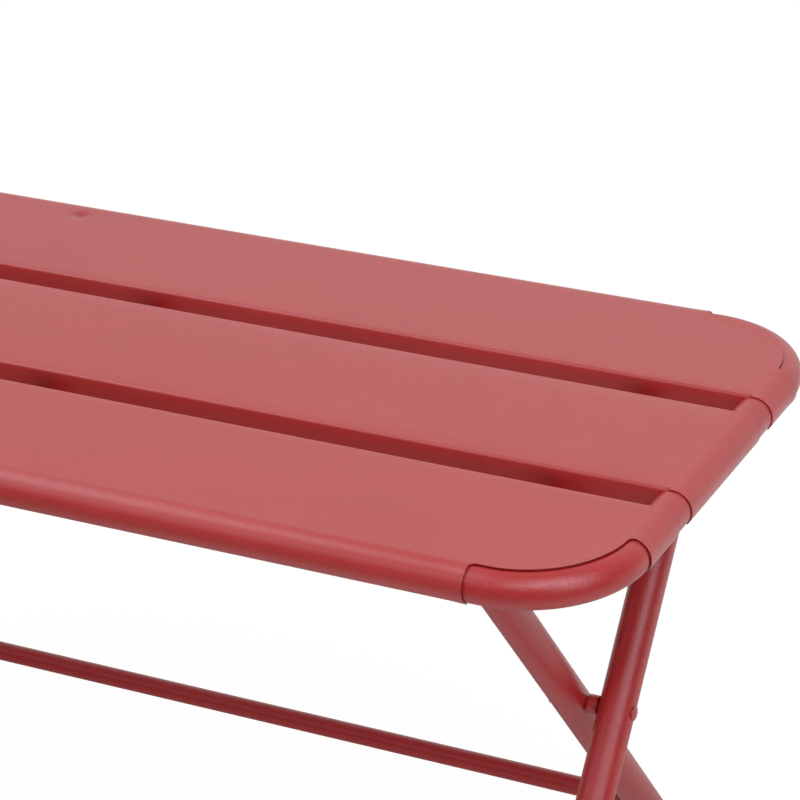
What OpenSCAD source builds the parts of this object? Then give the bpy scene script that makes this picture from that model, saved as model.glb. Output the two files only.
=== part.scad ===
// Folding picnic table: a top of three sheet-steel slats rolled over a bent tube frame,
// on two pairs of crossed tube legs. The outer legs carry the top on hinge pins at the rear,
// and the inner legs hold it at the front by pins in open hooks.
// X runs along the table, +Y to the rear, +Z up. The origin is on the floor under the centre.

/* [Top] */
// Length of the top over its bare end tubes
top_length = 1040; // [900:10:1200]
// Width of the top over its bare side tubes
top_width = 452; // [430:2:480]
// Height of the top's upper face above the floor
height = 500; // [480:2:530]
// Diameter of the frame tube
frame_d = 28; // [25:0.5:32]
// Wall of the frame tube
frame_wall = 1.5; // [1:0.1:2.5]
// Radius of the frame's corners at the tube's axis
bend_r = 75; // [60:1:100]
// Length of the sleeves that join the frame's two halves
sleeve_length = 80; // [40:5:120]
// Wall of the joining sleeves
sleeve_wall = 1.5; // [1:0.1:2.5]

/* [Slats] */
// Thickness of the slats' sheet
sheet = 0.8; // [0.6:0.1:1.5]
// Width of the middle slat
middle_slat_width = 131; // [110:1:150]
// Width of the slots between the slats
slot_width = 25; // [16:1:32]
// Outer radius of the fold along each slot
fold_r = 2.5; // [1.8:0.1:4]
// Gap between the flanges' shaped ends and the end tubes
flange_gap = 0.3; // [0.3:0.1:1.5]
// How far the slats' ends are rolled round the end tubes from their crests, in degrees
end_roll_angle = 135; // [95:1:165]
// How far the front and rear slats are rolled round the side tubes from their crests, in degrees
side_roll_angle = 160; // [95:1:165]
// How far the front and rear slats' end rolls run on past the start of the corner bend
end_roll_overrun = 2; // [1:0.5:10]
// How far their side rolls stop short of the start of the corner bend
side_roll_setback = 10; // [0:0.5:20]

/* [Rails] */
// Diameter of the cross rails
rail_d = 16; // [14:0.5:20]
// Wall of the cross rails
rail_wall = 1.2; // [0.8:0.1:2]
// How far the rails' axes lie below the frame tube's axis
rail_drop = 10; // [8:0.5:11]

/* [Legs] */
// Diameter of the leg tubes
leg_d = 28; // [24:0.5:32]
// Wall of the leg tubes
leg_wall = 1.5; // [1:0.1:2.5]
// Lean of each leg from the vertical, in degrees
leg_angle = 38.3; // [36:0.1:40]
// Distance from the top's end to the outer legs' axes
leg_inset = 85.5; // [70:0.5:110]
// Gap between an outer leg and the inner leg beside it
leg_gap = 9; // [8.5:0.5:14]
// Length of leg beyond the pin at its upper end
leg_head = 16; // [14:0.5:18]
// Diameter of the stretchers and of the inner legs' crossbar
stretcher_d = 16; // [14:0.5:20]
// Wall of the stretchers and the crossbar
stretcher_wall = 1.2; // [0.8:0.1:2]
// Height of both stretchers' axes above the floor
stretcher_z = 96; // [70:1:120]
// Depth of the end plugs inside the legs
plug_depth = 8; // [5:0.5:9]
// Height of the end plugs' domes
plug_dome = 2.5; // [1.5:0.1:3.5]
// Thickness of the end plugs' rims
plug_rim = 1.5; // [1:0.1:2.5]

/* [Feet] */
// Wall of the foot caps round the leg
foot_wall = 2; // [1.5:0.1:4]
// Length of leg inside each foot cap
foot_grip = 18; // [10:1:30]
// Least thickness of the foot caps under the leg's end
foot_sole = 3; // [2:0.5:6]

/* [Hinges and pivots] */
// Diameter of the hinge pins, catch pins and pivot rivets
pin_d = 8; // [6:0.5:9]
// Diameter of the rivet and pin heads
head_d = 11.5; // [11:0.5:14]
// Height of the rivet and pin heads
head_h = 1.5; // [1.2:0.1:2.2]
// Height of the heads' upright rims below their domes
head_rim = 0.6; // [0.4:0.1:0.8]
// Depth of the hinge axis below the top's upper face
hinge_drop = 52; // [48:0.5:58]
// Thickness of the hinge lugs and catch hooks
lug_t = 4; // [3:0.1:5]
// Radius of the hinge lugs round the pin
lug_r = 12; // [10:0.5:14]
// Length of the catch hook's front lip
hook_lip = 14; // [10:0.5:20]
// Length of hook plate behind the pin
hook_tail = 28; // [26:0.5:36]
// Depth of the hook below the pin's axis
hook_depth = 13; // [10:0.5:16]
// Lead of the hook's rear face behind its seat
hook_lead = 1.2; // [1:0.1:3]
// Slope of the hook's rear face from the vertical, in degrees
hook_flare = 35; // [32:1:40]
// Outer diameter of the spacers between the legs
spacer_d = 15; // [12:0.5:20]
// Outer diameter of the hinge washers
hinge_washer_d = 18; // [14:0.5:20]
// Outer diameter of the pivot washers
pivot_washer_d = 12; // [11:0.5:16]
// Thickness of the pivot washers
washer_t = 1.5; // [1:0.1:3]

/* [Clearances] */
// Gap between pieces that are welded, rolled or pushed together
seat_gap = 0.1; // [0.05:0.01:0.2]
// Radial clearance of the pins in their bores
run_fit = 0.05; // [0.02:0.01:0.09]
// Play of washers and spacers along their pins
play = 0.15; // [0.1:0.01:0.3]
// Gap round the catch pin in its hook
catch_fit = 0.3; // [0.2:0.05:0.6]

/* [Hidden] */

$fn = 96;
paint = [0.62, 0.13, 0.15];
slat_paint = [0.68, 0.16, 0.18];
foot_colour = [0.1, 0.1, 0.1];
washer_colour = [0.85, 0.85, 0.82];

// Overshoot of cutting shapes past the faces that they cut
cut = 1;
// Overlap of the shapes that make up one sheet
lap = sheet;
// Sides of the table, along X and along Y
right = 1;
left = -1;
rear = 1;
front = -1;

// Frame tube and the sheet rolled over it
frame_r = frame_d / 2;
roll_in = frame_r + seat_gap;
roll_out = roll_in + sheet;
frame_z = height - roll_out;
side_y = top_width / 2 - frame_r;
end_x = top_length / 2 - frame_r;
corner_x = end_x - bend_r;
corner_y = side_y - bend_r;

// Rails, and the flanges that stand on them
rail_r = rail_d / 2;
rail_z = frame_z - rail_drop;
flange_depth = height - rail_z - rail_r - seat_gap;
flange_end = end_x - frame_r / 2;
slot_in = middle_slat_width / 2;
slot_out = slot_in + slot_width;

// Leg pairs, with the rails and lugs between them
leg_r = leg_d / 2;
outer_x = top_length / 2 - leg_inset;
inner_x = outer_x - leg_d - leg_gap;
lug_x = (outer_x + inner_x) / 2;

// Pivot where the legs cross, over feet that stand under the side tubes
pivot_z = side_y / tan(leg_angle);
foot_s = pivot_z / cos(leg_angle);
stretcher_y = (pivot_z - stretcher_z) * tan(leg_angle);

// Hinge axis at the rear, with the catch axis at the front in line with it
pin_r = pin_d / 2;
hinge_z = height - hinge_drop;
hinge_y = (hinge_z - pivot_z) * tan(leg_angle);
hinge_s = (hinge_z - pivot_z) / cos(leg_angle);
leg_top = hinge_s + leg_head;

// Foot caps, cut level at the floor
foot_r = leg_r + seat_gap + foot_wall;
foot_stand = (foot_sole + leg_r * sin(leg_angle)) / cos(leg_angle);
foot_reach = foot_r * tan(leg_angle) + cut;

// Mirrors its children to the named side
module on_side(side) {
    if (side == right) children();
    else mirror([1, 0, 0]) children();
}

// Puts local Z along a leg, with zero at the pivot; lean is rear for an outer leg
module along_leg(x, lean) {
    translate([x, 0, pivot_z])
        rotate([-lean * leg_angle, 0, 0])
            children();
}

// Turns local Z to run along X
module along_x() {
    rotate([0, 90, 0]) children();
}

// Solid rod along X between two places
module rod_x(r, x0, x1) {
    translate([x0, 0, 0])
        along_x()
            cylinder(r = r, h = x1 - x0);
}

// Half of the frame's path as a rod, open at mid-length
module frame_rod(r, overshoot) {
    for (y = [front, rear] * side_y)
        translate([0, y, 0])
            rod_x(r, -overshoot, corner_x);
    for (side = [front, rear])
        translate([corner_x, side * corner_y, 0])
            rotate([0, 0, side == rear ? 0 : -90])
                rotate_extrude(angle = 90)
                    translate([bend_r, 0])
                        circle(r = r);
    translate([end_x, corner_y, 0])
        rotate([90, 0, 0])
            cylinder(r = r, h = 2 * corner_y);
}

module frame_tube(side) {
    color(paint)
        on_side(side)
            translate([0, 0, frame_z])
                difference() {
                    frame_rod(frame_r, 0);
                    frame_rod(frame_r - frame_wall, cut);
                }
}

module join_sleeve(side) {
    sleeve_r = frame_r - frame_wall - seat_gap;
    color(paint)
        translate([0, side * side_y, frame_z])
            difference() {
                rod_x(sleeve_r, -sleeve_length / 2, sleeve_length / 2);
                rod_x(sleeve_r - sleeve_wall, -sleeve_length, sleeve_length);
            }
}

// Outline of a folded edge: level at the top, round at the fold, upright to the flange's foot
module fold_outline(reach, depth, r) {
    translate([0, -depth])
        square([reach, depth - r]);
    translate([r, -r])
        circle(r = r);
    translate([r, -depth])
        square([reach - r, depth]);
}

// Section of a folded slot edge, at y = 0, with the sheet running on towards +y
module fold_section() {
    reach = 2 * fold_r + lap;
    difference() {
        fold_outline(reach, flange_depth, fold_r);
        translate([sheet, -sheet])
            fold_outline(reach, flange_depth, fold_r - sheet);
    }
}

// Rods round the places of the frame's end tubes, to shape the flanges' ends
module end_tube_rods() {
    for (side = [right, left])
        translate([side * end_x, top_width, frame_z])
            rotate([90, 0, 0])
                cylinder(r = frame_r + flange_gap, h = 2 * top_width);
}

// Folded edge along a slot, at the given place, with its sheet towards the given side
module folded_edge(y, side) {
    difference() {
        translate([-flange_end, y, height])
            rotate([90, 0, 90])
                linear_extrude(2 * flange_end)
                    mirror([side == front ? 1 : 0, 0])
                        fold_section();
        end_tube_rods();
    }
}

// Sheet rolled round a tube from its crest by an angle, where it runs on towards -x into the level sheet
module roll_section(angle) {
    difference() {
        union() {
            circle(r = roll_out);
            translate([-lap, 0])
                square([lap, roll_out]);
        }
        circle(r = roll_in);
        translate([-2 * roll_out, -2 * roll_out])
            square([2 * roll_out, 2 * roll_out + roll_in]);
        translate([-2 * roll_out - lap, 0])
            square(2 * roll_out);
        rotate(90 - angle)
            translate([-2 * roll_out, -2 * roll_out])
                square([4 * roll_out, 2 * roll_out]);
    }
}

// Both ends of a slat rolled over the end tubes, between two places along Y
module end_rolls(y0, y1) {
    for (side = [right, left])
        on_side(side)
            translate([end_x, y1, frame_z])
                rotate([90, 0, 0])
                    linear_extrude(y1 - y0)
                        roll_section(end_roll_angle);
}

// Level sheet between two corners
module level_sheet(x0, y0, x1, y1) {
    translate([x0, y0, height - sheet])
        cube([x1 - x0, y1 - y0, sheet]);
}

module middle_slat() {
    inner_edge = slot_in - 2 * fold_r;
    color(slat_paint) {
        level_sheet(-end_x, -inner_edge, end_x, inner_edge);
        for (side = [front, rear])
            folded_edge(side * slot_in, -side);
        for (side = [right, left])
            on_side(side)
                level_sheet(flange_end, -slot_in, end_x, slot_in);
        end_rolls(-slot_in, slot_in);
    }
}

// Quarter disc that fills a corner of the level sheet
module corner_sheet() {
    intersection() {
        circle(r = bend_r);
        translate([-lap, -lap])
            square(bend_r + lap);
    }
}

// Plan of a side slat's level sheet, from its fold to the crest of the frame tube
module side_slat_plan() {
    inner_edge = slot_out + 2 * fold_r;
    translate([-corner_x, inner_edge])
        square([2 * corner_x, side_y - inner_edge]);
    for (side = [right, left])
        mirror([side == left ? 1 : 0, 0]) {
            translate([corner_x - lap, inner_edge])
                square([bend_r + lap, corner_y - inner_edge]);
            translate([corner_x, corner_y])
                corner_sheet();
            translate([end_x - end_roll_overrun, corner_y - lap])
                square([end_roll_overrun, end_roll_overrun + lap]);
            translate([flange_end, slot_out])
                square([end_x - flange_end, 2 * fold_r + lap]);
        }
}

module side_slat_level() {
    translate([0, 0, height - sheet])
        linear_extrude(sheet)
            side_slat_plan();
}

// Side roll over the rear side tube
module side_roll() {
    roll_end = corner_x - side_roll_setback;
    translate([-roll_end, side_y, frame_z])
        rotate([90, 0, 90])
            linear_extrude(2 * roll_end)
                roll_section(side_roll_angle);
}

module side_slat(side) {
    color(slat_paint)
        mirror([0, side == front ? 1 : 0, 0]) {
            side_slat_level();
            folded_edge(slot_out, rear);
            side_roll();
            end_rolls(slot_out, corner_y + end_roll_overrun);
        }
}

// Rods in the places of the frame's side tubes, to shape the rails' ends
module side_tube_rods() {
    for (side = [front, rear])
        translate([0, side * side_y, frame_z])
            rod_x(frame_r + seat_gap, -top_length, top_length);
}

// Cross rail, with ends that reach into the side tubes' places and are shaped to them
module rail(x) {
    rail_end = side_y - frame_r / 3;
    color(paint)
        difference() {
            translate([x, rail_end, rail_z])
                rotate([90, 0, 0])
                    difference() {
                        cylinder(r = rail_r, h = 2 * rail_end);
                        translate([0, 0, -cut])
                            cylinder(r = rail_r - rail_wall, h = 2 * rail_end + 2 * cut);
                    }
            side_tube_rods();
        }
}

// Plate under the right rail, drawn in Y and Z
module rail_plate() {
    difference() {
        translate([lug_x - lug_t / 2, 0, 0])
            rotate([90, 0, 90])
                linear_extrude(lug_t)
                    children();
        translate([lug_x, top_width, rail_z])
            rotate([90, 0, 0])
                cylinder(r = rail_r + seat_gap, h = 2 * top_width);
    }
}

module hinge_lug(side) {
    color(paint)
        on_side(side)
            difference() {
                rail_plate()
                    translate([hinge_y, hinge_z]) {
                        circle(r = lug_r);
                        translate([-lug_r, 0])
                            square([2 * lug_r, rail_z - hinge_z - rail_r / 2]);
                    }
                translate([0, hinge_y, hinge_z])
                    rod_x(pin_r + run_fit, lug_x - lug_t, lug_x + lug_t);
            }
}

// Open notch of the catch hook, round the pin and wider towards its mouth
module hook_notch() {
    seat_r = pin_r + catch_fit;
    mouth = 2 * hook_depth;
    circle(r = seat_r);
    polygon([
        [-seat_r, 0],
        [-seat_r, -mouth],
        [seat_r + hook_lead + mouth * tan(hook_flare), -mouth],
        [seat_r + hook_lead, 0]
    ]);
}

module catch_hook(side) {
    lip = pin_r + catch_fit + hook_lip;
    color(paint)
        on_side(side)
            rail_plate()
                translate([-hinge_y, hinge_z])
                    difference() {
                        translate([-lip, -hook_depth])
                            square([lip + hook_tail, hook_depth + rail_z - hinge_z - rail_r / 2]);
                        hook_notch();
                    }
}

// Leg tube with bores for its pivot rivet and upper pin
module leg_tube(x, lean) {
    leg_low = foot_stand - foot_s;
    color(paint)
        along_leg(x, lean)
            difference() {
                translate([0, 0, leg_low])
                    cylinder(r = leg_r, h = leg_top - leg_low);
                translate([0, 0, leg_low - cut])
                    cylinder(r = leg_r - leg_wall, h = leg_top - leg_low + 2 * cut);
                for (s = [0, hinge_s])
                    translate([0, 0, s])
                        rod_x(pin_r + run_fit, -leg_d, leg_d);
            }
}

module outer_leg(side) {
    on_side(side) leg_tube(outer_x, rear);
}

module inner_leg(side) {
    on_side(side) leg_tube(inner_x, front);
}

// Domed plug in a leg's upper end
module leg_plug(x, lean) {
    plug_r = leg_r - leg_wall - seat_gap;
    dome_r = (leg_r * leg_r + plug_dome * plug_dome) / (2 * plug_dome);
    color(paint)
        along_leg(x, lean)
            translate([0, 0, leg_top])
                rotate_extrude() {
                    translate([0, -plug_depth])
                        square([plug_r, plug_depth + seat_gap]);
                    translate([0, seat_gap])
                        square([leg_r, plug_rim]);
                    translate([0, seat_gap + plug_rim])
                        intersection() {
                            translate([0, plug_dome - dome_r])
                                circle(r = dome_r);
                            square([leg_r, plug_dome]);
                        }
                }
}

module outer_plug(side) {
    on_side(side) leg_plug(outer_x, rear);
}

module inner_plug(side) {
    on_side(side) leg_plug(inner_x, front);
}

// Foot cap over a leg's lower end, level on the floor
module leg_foot(x, lean) {
    color(foot_colour)
        difference() {
            along_leg(x, lean)
                translate([0, 0, -foot_s])
                    difference() {
                        translate([0, 0, -foot_reach])
                            cylinder(r = foot_r, h = foot_reach + foot_stand + foot_grip);
                        translate([0, 0, foot_stand - seat_gap])
                            cylinder(r = leg_r + seat_gap, h = foot_grip + cut + seat_gap);
                    }
            translate([x - 2 * foot_r, -top_width, -height])
                cube([4 * foot_r, 2 * top_width, height]);
        }
}

module outer_foot(side) {
    on_side(side) leg_foot(outer_x, rear);
}

module inner_foot(side) {
    on_side(side) leg_foot(inner_x, front);
}

// Rods in the places of a pair of legs, to shape what is welded to them
module leg_rods(x, lean) {
    for (side = [right, left])
        on_side(side)
            along_leg(x, lean)
                translate([0, 0, -foot_s])
                    cylinder(r = leg_r + seat_gap, h = foot_s + leg_top);
}

// Cross tube between a pair of legs, with ends that reach into their places and are shaped to them
module cross_tube(x, lean, y, z) {
    tube_r = stretcher_d / 2;
    tube_end = x - leg_r / 2;
    color(paint)
        difference() {
            translate([0, y, z])
                difference() {
                    rod_x(tube_r, -tube_end, tube_end);
                    rod_x(tube_r - stretcher_wall, -top_length, top_length);
                }
            leg_rods(x, lean);
        }
}

module outer_stretcher() {
    cross_tube(outer_x, rear, -stretcher_y, stretcher_z);
}

module inner_stretcher() {
    cross_tube(inner_x, front, stretcher_y, stretcher_z);
}

module inner_crossbar() {
    cross_tube(inner_x, front, -hinge_y, hinge_z);
}

// Low domed head on local Z, with a skirt below it
module pin_head(skirt) {
    head_r = head_d / 2;
    dome_h = head_h - head_rim;
    dome_r = (head_r * head_r + dome_h * dome_h) / (2 * dome_h);
    rotate_extrude() {
        translate([0, -skirt])
            square([head_r, skirt + head_rim]);
        translate([0, head_rim])
            intersection() {
                translate([0, dome_h - dome_r])
                    circle(r = dome_r);
                square([head_r, dome_h]);
            }
    }
}

// Head seated on an outer leg, with a skirt that reaches into the leg's place and is cut to its surface
module seated_head(y, z) {
    difference() {
        translate([outer_x + leg_r, y, z])
            along_x() pin_head(leg_r / 4);
        along_leg(outer_x, rear)
            translate([0, 0, -foot_s])
                cylinder(r = leg_r + seat_gap, h = foot_s + leg_top);
    }
}

// Pin through an outer leg, from a flat head at its inner end to a seated head outside
module leg_pin(x_in, y, z) {
    sink = head_rim / 2;
    seated_head(y, z);
    translate([0, y, z])
        rod_x(pin_r, x_in - sink, outer_x + leg_r + sink);
    translate([x_in, y, z])
        mirror([1, 0, 0])
            along_x() pin_head(0);
}

module pivot_rivet(side) {
    color(paint)
        on_side(side)
            leg_pin(inner_x - leg_r - washer_t - 2 * play, 0, pivot_z);
}

module pivot_spacer(side) {
    color(paint)
        on_side(side)
            translate([0, 0, pivot_z])
                difference() {
                    rod_x(spacer_d / 2, inner_x + leg_r + play, outer_x - leg_r - play);
                    rod_x(pin_r + run_fit, inner_x, outer_x);
                }
}

module pivot_washer(side) {
    washer_x = inner_x - leg_r - play;
    color(washer_colour)
        on_side(side)
            translate([0, 0, pivot_z])
                difference() {
                    rod_x(pivot_washer_d / 2, washer_x - washer_t, washer_x);
                    rod_x(pin_r + run_fit, washer_x - 2 * washer_t, inner_x);
                }
}

module hinge_pin(side) {
    color(paint)
        on_side(side)
            leg_pin(lug_x - lug_t / 2 - play, hinge_y, hinge_z);
}

module hinge_washer(side) {
    color(washer_colour)
        on_side(side)
            translate([0, hinge_y, hinge_z])
                difference() {
                    rod_x(hinge_washer_d / 2, lug_x + lug_t / 2 + play, outer_x - leg_r - play);
                    rod_x(pin_r + run_fit, lug_x, outer_x);
                }
}

// Pin through an inner leg, from inside the crossbar to just past the hook
module catch_pin(side) {
    pin_end = (lug_x + lug_t / 2 + outer_x - leg_r) / 2;
    bevel = pin_r / 4;
    color(paint)
        on_side(side)
            translate([0, -hinge_y, hinge_z]) {
                rod_x(pin_r, inner_x - leg_r, pin_end - bevel);
                translate([pin_end - bevel, 0, 0])
                    along_x()
                        cylinder(r1 = pin_r, r2 = pin_r - bevel, h = bevel);
            }
}

frame_tube(right);  // right_frame_tube
frame_tube(left);  // left_frame_tube
join_sleeve(front);  // front_join_sleeve
join_sleeve(rear);  // rear_join_sleeve
side_slat(front);  // front_slat
middle_slat();
side_slat(rear);  // rear_slat
rail(lug_x);  // right_rail
rail(0);  // centre_rail
rail(-lug_x);  // left_rail
hinge_lug(right);  // right_hinge_lug
hinge_lug(left);  // left_hinge_lug
catch_hook(right);  // right_catch_hook
catch_hook(left);  // left_catch_hook
outer_leg(right);  // right_outer_leg
outer_leg(left);  // left_outer_leg
outer_stretcher();
outer_plug(right);  // right_outer_plug
outer_plug(left);  // left_outer_plug
outer_foot(right);  // right_outer_foot
outer_foot(left);  // left_outer_foot
pivot_rivet(right);  // right_pivot_rivet
pivot_rivet(left);  // left_pivot_rivet
pivot_spacer(right);  // right_pivot_spacer
pivot_spacer(left);  // left_pivot_spacer
pivot_washer(right);  // right_pivot_washer
pivot_washer(left);  // left_pivot_washer
hinge_pin(right);  // right_hinge_pin
hinge_pin(left);  // left_hinge_pin
hinge_washer(right);  // right_hinge_washer
hinge_washer(left);  // left_hinge_washer
inner_leg(right);  // right_inner_leg
inner_leg(left);  // left_inner_leg
inner_stretcher();
inner_crossbar();
inner_plug(right);  // right_inner_plug
inner_plug(left);  // left_inner_plug
inner_foot(right);  // right_inner_foot
inner_foot(left);  // left_inner_foot
catch_pin(right);  // right_catch_pin
catch_pin(left);  // left_catch_pin
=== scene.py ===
# Folding picnic table: painted pieces round the CAD frame, the photograph's camera and a plain studio.
# X runs along the table, +Y to the rear, +Z up. Lengths are in mm until a piece is made.

import math

import bmesh
import bpy
from mathutils import Matrix
from mathutils import Vector
from mathutils import noise


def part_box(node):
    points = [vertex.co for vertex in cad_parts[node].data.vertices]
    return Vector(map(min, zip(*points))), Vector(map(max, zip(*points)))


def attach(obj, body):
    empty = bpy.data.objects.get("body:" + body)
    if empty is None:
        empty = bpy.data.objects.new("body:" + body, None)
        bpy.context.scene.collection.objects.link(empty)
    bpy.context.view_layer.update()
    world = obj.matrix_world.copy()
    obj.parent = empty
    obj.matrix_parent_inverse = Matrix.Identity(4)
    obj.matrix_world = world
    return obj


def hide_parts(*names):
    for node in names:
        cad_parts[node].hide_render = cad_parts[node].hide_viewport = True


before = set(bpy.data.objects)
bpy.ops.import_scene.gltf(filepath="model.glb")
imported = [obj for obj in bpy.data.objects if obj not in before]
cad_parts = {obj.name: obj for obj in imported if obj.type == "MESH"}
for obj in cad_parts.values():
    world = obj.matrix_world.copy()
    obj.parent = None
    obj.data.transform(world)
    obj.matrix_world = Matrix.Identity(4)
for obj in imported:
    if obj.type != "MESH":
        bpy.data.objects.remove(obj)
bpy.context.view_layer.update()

# Sides of the table
MM = 0.001
RIGHT = 1
LEFT = -1
REAR = 1
FRONT = -1
SIDE_NAMES = {RIGHT: "right", LEFT: "left"}

# Sizes that the CAD model's boxes give
tube_low, tube_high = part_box("right_frame_tube")
slat_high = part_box("middle_slat")[1]
HEIGHT = slat_high.z / MM
FRAME_R = (tube_high.z - tube_low.z) / MM / 2
FRAME_Z = (tube_high.z + tube_low.z) / MM / 2
SIDE_Y = tube_high.y / MM - FRAME_R
END_X = tube_high.x / MM - FRAME_R
SLOT_IN = slat_high.y / MM
SLOT_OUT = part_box("rear_slat")[0].y / MM

# Sizes of the sheet and the frame
SHEET = 0.8
SEAT_GAP = 0.1
FRAME_WALL = 1.5
BEND_R = 75.0
CORNER_X = END_X - BEND_R
CORNER_Y = SIDE_Y - BEND_R
ROLL_OUT = HEIGHT - FRAME_Z
ROLL_MID = ROLL_OUT - SHEET / 2
END_ROLL_ANGLE = math.radians(135)
SIDE_ROLL_ANGLE = math.radians(160)
FOLD_R = 2.5
FOLD_MID = FOLD_R - SHEET / 2
FLANGE_GAP = -0.2
END_ROLL_OVERRUN = 2.0
SIDE_ROLL_SETBACK = 10.0
END_ROLL_EDGE = CORNER_Y + END_ROLL_OVERRUN
SIDE_ROLL_END = CORNER_X - SIDE_ROLL_SETBACK

# Sizes of the rails, legs and cross tubes
RAIL_R = 8.0
RAIL_WALL = 1.2
RAIL_DROP = 10.0
RAIL_Z = FRAME_Z - RAIL_DROP
FLANGE_DEPTH = HEIGHT - RAIL_Z - RAIL_R - SEAT_GAP
LEG_R = 14.0
LEG_WALL = 1.5
LEG_ANGLE = math.radians(38.3)
OUTER_X = 434.5
INNER_X = 397.5
LUG_X = (OUTER_X + INNER_X) / 2
PIVOT_Z = SIDE_Y / math.tan(LEG_ANGLE)
FOOT_S = PIVOT_Z / math.cos(LEG_ANGLE)
HINGE_DROP = 52.0
HINGE_Z = HEIGHT - HINGE_DROP
HINGE_Y = (HINGE_Z - PIVOT_Z) * math.tan(LEG_ANGLE)
LEG_OVERRUN = 16.0
LEG_TOP = (HINGE_Z - PIVOT_Z) / math.cos(LEG_ANGLE) + LEG_OVERRUN
STRETCHER_R = 8.0
STRETCHER_WALL = 1.2
STRETCHER_Z = 96.0
STRETCHER_Y = (PIVOT_Z - STRETCHER_Z) * math.tan(LEG_ANGLE)

# Sizes of the pins, washers and feet
PIN_R = 4.0
BORE_R = 4.05
HEAD_R = 5.75
PLAY = 0.15
SPACER_R = 7.5
HINGE_WASHER_R = 9.0
PIVOT_WASHER_R = 6.0
WASHER_T = 1.5
LUG_T = 4.0
LUG_R = 12.0
FOOT_R = 16.1
SOLE_T = 3.0
CUP_DEPTH = 18.0
FOOT_STAND = (SOLE_T + LEG_R * math.sin(LEG_ANGLE)) / math.cos(LEG_ANGLE)
FOOT_TOP = FOOT_STAND + CUP_DEPTH

# Points round the tubes, turned pieces, lugs and weld beads
FRAME_POINTS = 96
TUBE_POINTS = 64
SMALL_POINTS = 48
LUG_POINTS = 72
BEAD_POINTS = 12


def smooth_step(low, high, value):
    """Share from 0 at low to 1 at high, with soft ends."""
    share = min(max((value - low) / (high - low), 0.0), 1.0)
    return share * share * (3 - 2 * share)


def round_angles(count):
    """Angles of evenly spaced points round a circle."""
    return [2 * math.pi * i / count for i in range(count)]


class Shape:
    """Points in mm, faces, and the painted shade at seams and gaps, of a piece while it is made."""

    def __init__(self):
        self.points = []
        self.painted_shades = []
        self.faces = []
        self.face_painted_shades = []

    def ring(self, points, painted_shades=None):
        """Add points and give their numbers."""
        first = len(self.points)
        self.points.extend(Vector(point) for point in points)
        self.painted_shades.extend(painted_shades or [0.0] * len(points))
        return list(range(first, len(self.points)))

    def face(self, corners, painted_shade=None):
        self.faces.append(tuple(corners))
        self.face_painted_shades.append(painted_shade)

    def band(self, first, second):
        """Faces between two rings of the same count."""
        count = len(first)
        for i in range(count):
            j = (i + 1) % count
            self.face((first[i], first[j], second[j], second[i]))

    def loft(self, rings, closed):
        """Skin over rings, back to the first one or with two end faces."""
        for first, second in zip(rings, rings[1:]):
            self.band(first, second)
        if closed:
            self.band(rings[-1], rings[0])
        else:
            self.face(reversed(rings[0]))
            self.face(rings[-1])

    def mirrored(self, axis):
        """Mirror image across the plane where the axis is 0."""
        other = Shape()
        for point in self.points:
            turned = point.copy()
            turned[axis] = -turned[axis]
            other.points.append(turned)
        other.painted_shades = list(self.painted_shades)
        other.faces = [tuple(reversed(face)) for face in self.faces]
        other.face_painted_shades = list(self.face_painted_shades)
        return other

    def join(self, other):
        first = len(self.points)
        self.points.extend(other.points)
        self.painted_shades.extend(other.painted_shades)
        for face, painted_shade in zip(other.faces, other.face_painted_shades):
            self.face([first + i for i in face], painted_shade)


# Materials
CLOUD_DETAIL = 4.0
CLOUD_ROUGHNESS = 0.6
PAINT_CLOUD_SCALE = 14.0
PLASTIC_CLOUD_SCALE = 60.0
NOISE_MIDDLE = (0.3, 0.7)
PEEL_SCALE = 420.0
PEEL_DETAIL = 2.0
GRAIN_SCALE = 1100.0
GRAIN_DETAIL = 1.0
GRAIN_ROUGHNESS = 0.5
GRAIN_SHARE = 0.4
PLASTIC_GRAIN_FACTOR = 3
PAINT_ROUGHNESS = (0.33, 0.43)
# Colour of the painted shade that darkens seams, slots, gaps and the dent
PAINTED_SHADE_COLOUR = (0.27, 0.002, 0.002)


def link(tree, source, output, target, socket):
    tree.links.new(source.outputs[output], target.inputs[socket])


def add_node(tree, kind, **settings):
    node = tree.nodes.new(kind)
    for name, value in settings.items():
        setattr(node, name, value)
    return node


def noise_node(tree, scale, detail, roughness):
    """Noise fixed to the piece, in metres."""
    place = add_node(tree, "ShaderNodeTexCoord")
    pattern = add_node(tree, "ShaderNodeTexNoise")
    pattern.inputs["Scale"].default_value = scale
    pattern.inputs["Detail"].default_value = detail
    pattern.inputs["Roughness"].default_value = roughness
    link(tree, place, "Object", pattern, "Vector")
    return pattern


def spread_range(tree, source, before, after, kind):
    """Output that goes over the range after, as the source goes over the range before."""
    spread = add_node(tree, "ShaderNodeMapRange", interpolation_type=kind)
    for name, value in zip(("From Min", "From Max", "To Min", "To Max"), (*before, *after)):
        spread.inputs[name].default_value = value
    tree.links.new(source, spread.inputs["Value"])
    return spread.outputs["Result"]


def noise_range(tree, pattern, after):
    """Output that spreads the middle of a noise over a range of values."""
    return spread_range(tree, pattern.outputs["Fac"], NOISE_MIDDLE, after, "LINEAR")


def clouded(tree, clouds, dark, light):
    """Mix of two colours by a noise."""
    mix = add_node(tree, "ShaderNodeMix", data_type="RGBA")
    mix.inputs["A"].default_value = (*dark, 1)
    mix.inputs["B"].default_value = (*light, 1)
    tree.links.new(noise_range(tree, clouds, (0.0, 1.0)), mix.inputs["Factor"])
    return mix


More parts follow.
